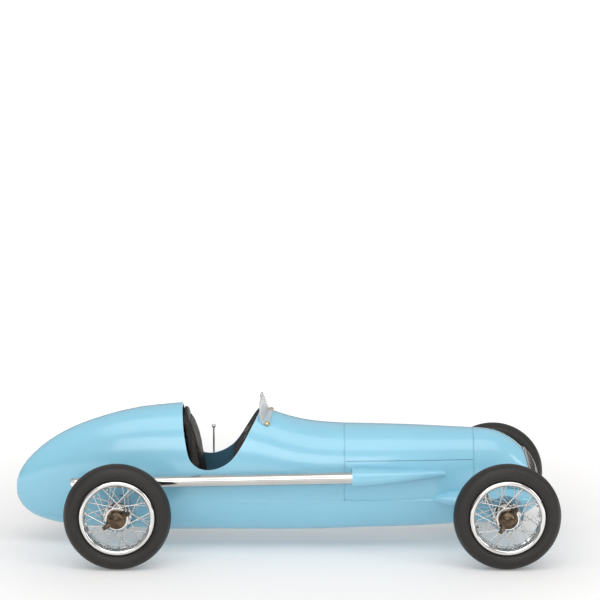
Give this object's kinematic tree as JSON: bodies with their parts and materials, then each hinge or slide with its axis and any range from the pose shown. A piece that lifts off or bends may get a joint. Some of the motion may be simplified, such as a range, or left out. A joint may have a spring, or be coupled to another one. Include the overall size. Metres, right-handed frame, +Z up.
{
  "type": "model racing car",
  "caption": "Large display model of a streamlined single-seat racing car with wire wheels, side exhaust, aero windscreen, working steering and a hand brake lever.",
  "frame": {"origin": "on the ground under the middle of the overall box", "axes": "+X forward, +Y to the car's left, +Z up"},
  "size_m": [0.555, 0.2308, 0.161],
  "materials": {
    "body_paint": "glossy light sky blue paint",
    "interior_paint": "dark blue paint, semi gloss",
    "drum_paint": "mid blue paint, satin",
    "dark_metal": "black paint, satin",
    "bright_metal": "polished plating",
    "steel": "bright steel",
    "aluminium": "satin",
    "brass": "aged, dull",
    "clear_screen": "clear acrylic",
    "seat_leather": "black, soft sheen",
    "black_rim": "black, moulded",
    "tyre_rubber": "dark brown black, matt"
  },
  "bodies": {
    "car": {"main_body_shell": "body_paint", "bonnet_top": "body_paint", "bonnet_side_left": "body_paint", "bonnet_side_right": "body_paint", "nose_cowl": "body_paint", "radiator_grille": "bright_metal", "radiator_core": "dark_metal", "axle_fairings": "body_paint", "belly_pan": "body_paint", "belly_pan_screws": "steel", "bonnet_hoops": "body_paint", "exhaust_fairing": "body_paint", "exhaust_pipe": "bright_metal", "exhaust_bracket": "steel", "windscreen": "clear_screen", "windscreen_screws": "brass", "dashboard": "dark_metal", "gauges": "bright_metal", "seat_back": "seat_leather", "seat_cushion": "seat_leather", "cockpit_floor": "interior_paint", "lever_bracket": "steel", "chassis_rails": "dark_metal", "front_axle_beam": "steel", "kingpins": "steel", "rear_axle": "steel", "rear_brake_drums": "drum_paint", "steering_box": "aluminium"},
    "knuckle_left": {"stub_axle_left": "steel", "front_brake_drum_left": "drum_paint"},
    "knuckle_right": {"stub_axle_right": "steel", "front_brake_drum_right": "drum_paint"},
    "steering_wheel": {"steering_wheel_rim": "black_rim", "steering_wheel_spider": "aluminium", "steering_column": "steel"},
    "pitman": {"drop_arm": "steel"},
    "linkage": {"track_rod": "steel", "drag_link": "steel"},
    "lever": {"brake_lever": "steel", "lever_knob": "aluminium"},
    "front_left_wheel": {"front_left_tyre": "tyre_rubber", "front_left_rim": "bright_metal", "front_left_spokes": "steel", "front_left_hub": "bright_metal", "front_left_knock_off_nut": "brass"},
    "front_right_wheel": {"front_right_tyre": "tyre_rubber", "front_right_rim": "bright_metal", "front_right_spokes": "steel", "front_right_hub": "bright_metal", "front_right_knock_off_nut": "brass"},
    "rear_left_wheel": {"rear_left_tyre": "tyre_rubber", "rear_left_rim": "bright_metal", "rear_left_spokes": "steel", "rear_left_hub": "bright_metal", "rear_left_knock_off_nut": "brass"},
    "rear_right_wheel": {"rear_right_tyre": "tyre_rubber", "rear_right_rim": "bright_metal", "rear_right_spokes": "steel", "rear_right_hub": "bright_metal", "rear_right_knock_off_nut": "brass"}
  },
  "joints": [
    {"name": "front_left_steer", "type": "hinge", "parent": "car", "child": "knuckle_left", "pos_m": [0.2235, 0.07, 0.054], "axis": [0, 0, 1], "range_deg": [-20, 20]},
    {"name": "front_right_steer", "type": "hinge", "parent": "car", "child": "knuckle_right", "pos_m": [0.2235, -0.07, 0.054], "axis": [0, 0, 1], "range_deg": [-20, 20]},
    {"name": "drop_arm_swing", "type": "hinge", "parent": "car", "child": "pitman", "pos_m": [0.092, 0, 0.064], "axis": [0, 0, 1], "range_deg": [-20, 20]},
    {"name": "track_rod_pivot", "type": "hinge", "parent": "knuckle_left", "child": "linkage", "pos_m": [0.2035, 0.07, 0.069], "axis": [0, 0, 1], "range_deg": [-20, 20]},
    {"name": "steering_wheel_turn", "type": "hinge", "parent": "car", "child": "steering_wheel", "pos_m": [-0.042, 0, 0.075], "axis": [0.9816, 0, -0.1908], "range_deg": [-90, 90]},
    {"name": "brake_lever_pull", "type": "hinge", "parent": "car", "child": "lever", "pos_m": [-0.0746, 0.045, 0.064], "axis": [0, 1, 0], "range_deg": [-20, 0]},
    {"name": "front_left_wheel_spin", "type": "hinge", "parent": "knuckle_left", "child": "front_left_wheel", "pos_m": [0.2235, 0.095, 0.054], "axis": [0, 1, 0], "continuous": true},
    {"name": "front_right_wheel_spin", "type": "hinge", "parent": "knuckle_right", "child": "front_right_wheel", "pos_m": [0.2235, -0.095, 0.054], "axis": [0, 1, 0], "continuous": true},
    {"name": "rear_left_wheel_spin", "type": "hinge", "parent": "car", "child": "rear_left_wheel", "pos_m": [-0.1665, 0.095, 0.054], "axis": [0, 1, 0], "continuous": true},
    {"name": "rear_right_wheel_spin", "type": "hinge", "parent": "car", "child": "rear_right_wheel", "pos_m": [-0.1665, -0.095, 0.054], "axis": [0, 1, 0], "continuous": true}
  ],
  "couplings": [
    {"joint": "front_right_steer", "follows": "front_left_steer", "ratio": 1},
    {"joint": "drop_arm_swing", "follows": "front_left_steer", "ratio": 1},
    {"joint": "track_rod_pivot", "follows": "front_left_steer", "ratio": -1},
    {"joint": "steering_wheel_turn", "follows": "front_left_steer", "ratio": -4.5}
  ]
}
